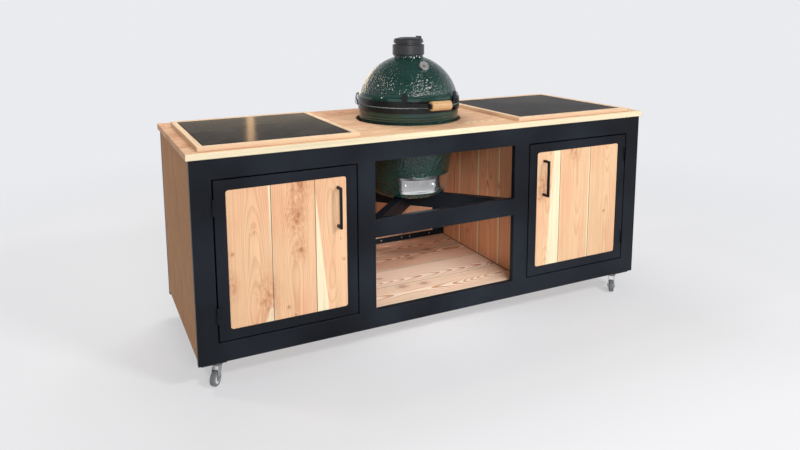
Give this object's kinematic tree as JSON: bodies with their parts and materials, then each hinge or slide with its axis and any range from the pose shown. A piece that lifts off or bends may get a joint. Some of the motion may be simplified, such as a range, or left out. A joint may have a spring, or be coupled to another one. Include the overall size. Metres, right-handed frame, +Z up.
{
  "type": "kamado grill table",
  "caption": "Outdoor cooking table: black steel frame with timber boards, two cupboards, a shelf, stone slabs and a ceramic kamado grill let into the top, on swivel casters",
  "frame": {"origin": "on the floor under the middle of the outline, door handles included", "axes": "+X to the right along the front, +Y from the front to the back, +Z up"},
  "size_m": [2.22, 0.797, 1.3253],
  "materials": {
    "black_steel": "satin powder coat",
    "timber": "oiled larch, salmon heartwood with pale sapwood",
    "stone": "honed dark stone with a soft sheen",
    "pad": "matt black packing pad",
    "zinc": "zinc plated",
    "glaze": "dimpled dark green glaze",
    "band": "black powder coat",
    "gasket": "felt rim gasket",
    "firebrick": "unglazed fired clay",
    "cast_iron": "seasoned",
    "spring_steel": "oil-tempered spring steel",
    "stainless": "brushed stainless",
    "grip_wood": "pale turned wood",
    "dial_white": "printed dial face",
    "lens_glass": "clear flat glass",
    "cap_black": "satin black casting",
    "needle_red": "painted pointer",
    "tyre": "grey rubber tyre"
  },
  "bodies": {
    "table": {"front_frame": "black_steel", "rear_frame": "black_steel", "cross_rails": "black_steel", "grill_cradle": "black_steel", "side_boards": "timber", "partition_boards": "timber", "back_boards": "timber", "back_cleats": "black_steel", "cabinet_floor_boards": "timber", "shelf_boards": "timber", "worktop_boards": "timber", "tray_battens": "timber", "stone_slab_left": "stone", "stone_slab_right": "stone", "hinge_pin_halves": "black_steel", "door_catches": "black_steel", "caster_pads": "pad", "caster_plates": "zinc", "caster_bolts": "zinc", "grill_base": "glaze", "lower_band": "band", "rim_gasket": "gasket", "fire_box": "firebrick", "fire_ring": "firebrick", "fire_grate": "cast_iron", "cooking_grid": "cast_iron", "lid_hinge_plates": "band", "lid_hinge_pin": "band", "lid_hinge_springs": "spring_steel", "draft_frame": "stainless", "band_clamps": "band"},
    "lid": {"lid_dome": "glaze", "upper_band": "band", "lid_hinge_arms": "band", "handle_bracket": "band", "handle_grip": "grip_wood", "thermometer_case": "stainless", "thermometer_dial": "dial_white", "thermometer_lens": "lens_glass", "cap_body": "cap_black"},
    "draft_door": {"draft_slide": "stainless"},
    "needle": {"thermometer_needle": "needle_red"},
    "cap": {"cap_lid": "cap_black"},
    "left_door": {"left_door_frame": "black_steel", "left_door_boards": "timber", "left_door_handle": "black_steel", "left_hinge_sockets": "black_steel"},
    "right_door": {"right_door_frame": "black_steel", "right_door_boards": "timber", "right_door_handle": "black_steel", "right_hinge_sockets": "black_steel"},
    "front_left_swivel": {"front_left_fork": "zinc"},
    "front_left_roller": {"front_left_wheel": "tyre"},
    "rear_left_swivel": {"rear_left_fork": "zinc"},
    "rear_left_roller": {"rear_left_wheel": "tyre"},
    "front_right_swivel": {"front_right_fork": "zinc"},
    "front_right_roller": {"front_right_wheel": "tyre"},
    "rear_right_swivel": {"rear_right_fork": "zinc"},
    "rear_right_roller": {"rear_right_wheel": "tyre"}
  },
  "joints": [
    {"name": "left_door_hinge", "type": "hinge", "parent": "table", "child": "left_door", "pos_m": [-1.0175, -0.3668, 0.512], "axis": [0, 0, -1], "range_deg": [0, 110]},
    {"name": "right_door_hinge", "type": "hinge", "parent": "table", "child": "right_door", "pos_m": [1.0175, -0.3668, 0.512], "axis": [0, 0, 1], "range_deg": [0, 110]},
    {"name": "lid_hinge", "type": "hinge", "parent": "table", "child": "lid", "pos_m": [0.004, 0.3015, 1.003], "axis": [-1, 0, 0], "range_deg": [0, 75]},
    {"name": "cap_lid_hinge", "type": "hinge", "parent": "lid", "child": "cap", "pos_m": [0.004, 0.0945, 1.301], "axis": [-1, 0, 0], "range_deg": [0, 85]},
    {"name": "draft_slide", "type": "hinge", "parent": "table", "child": "draft_door", "pos_m": [0.004, 0.0165, 0.6465], "axis": [0, 0, 1], "range_deg": [0, 32]},
    {"name": "thermometer_needle", "type": "hinge", "parent": "lid", "child": "needle", "pos_m": [0.004, -0.13622, 1.19471], "axis": [0, 0.8192, -0.5736], "range_deg": [0, 250]},
    {"name": "front_left_swivel", "type": "hinge", "parent": "table", "child": "front_left_swivel", "pos_m": [-1.018, -0.3065, 0.081], "axis": [0, 0, 1], "continuous": true},
    {"name": "front_left_roll", "type": "hinge", "parent": "front_left_swivel", "child": "front_left_roller", "pos_m": [-1.03099, -0.32171, 0.03], "axis": [-0.7604, 0.6494, 0], "continuous": true},
    {"name": "rear_left_swivel", "type": "hinge", "parent": "table", "child": "rear_left_swivel", "pos_m": [-1.018, 0.3435, 0.081], "axis": [0, 0, 1], "continuous": true},
    {"name": "rear_left_roll", "type": "hinge", "parent": "rear_left_swivel", "child": "rear_left_roller", "pos_m": [-1.03099, 0.32829, 0.03], "axis": [-0.7604, 0.6494, 0], "continuous": true},
    {"name": "front_right_swivel", "type": "hinge", "parent": "table", "child": "front_right_swivel", "pos_m": [1.018, -0.3065, 0.081], "axis": [0, 0, 1], "continuous": true},
    {"name": "front_right_roll", "type": "hinge", "parent": "front_right_swivel", "child": "front_right_roller", "pos_m": [1.00501, -0.32171, 0.03], "axis": [-0.7604, 0.6494, 0], "continuous": true},
    {"name": "rear_right_swivel", "type": "hinge", "parent": "table", "child": "rear_right_swivel", "pos_m": [1.018, 0.3435, 0.081], "axis": [0, 0, 1], "continuous": true},
    {"name": "rear_right_roll", "type": "hinge", "parent": "rear_right_swivel", "child": "rear_right_roller", "pos_m": [1.00501, 0.32829, 0.03], "axis": [-0.7604, 0.6494, 0], "continuous": true}
  ]
}
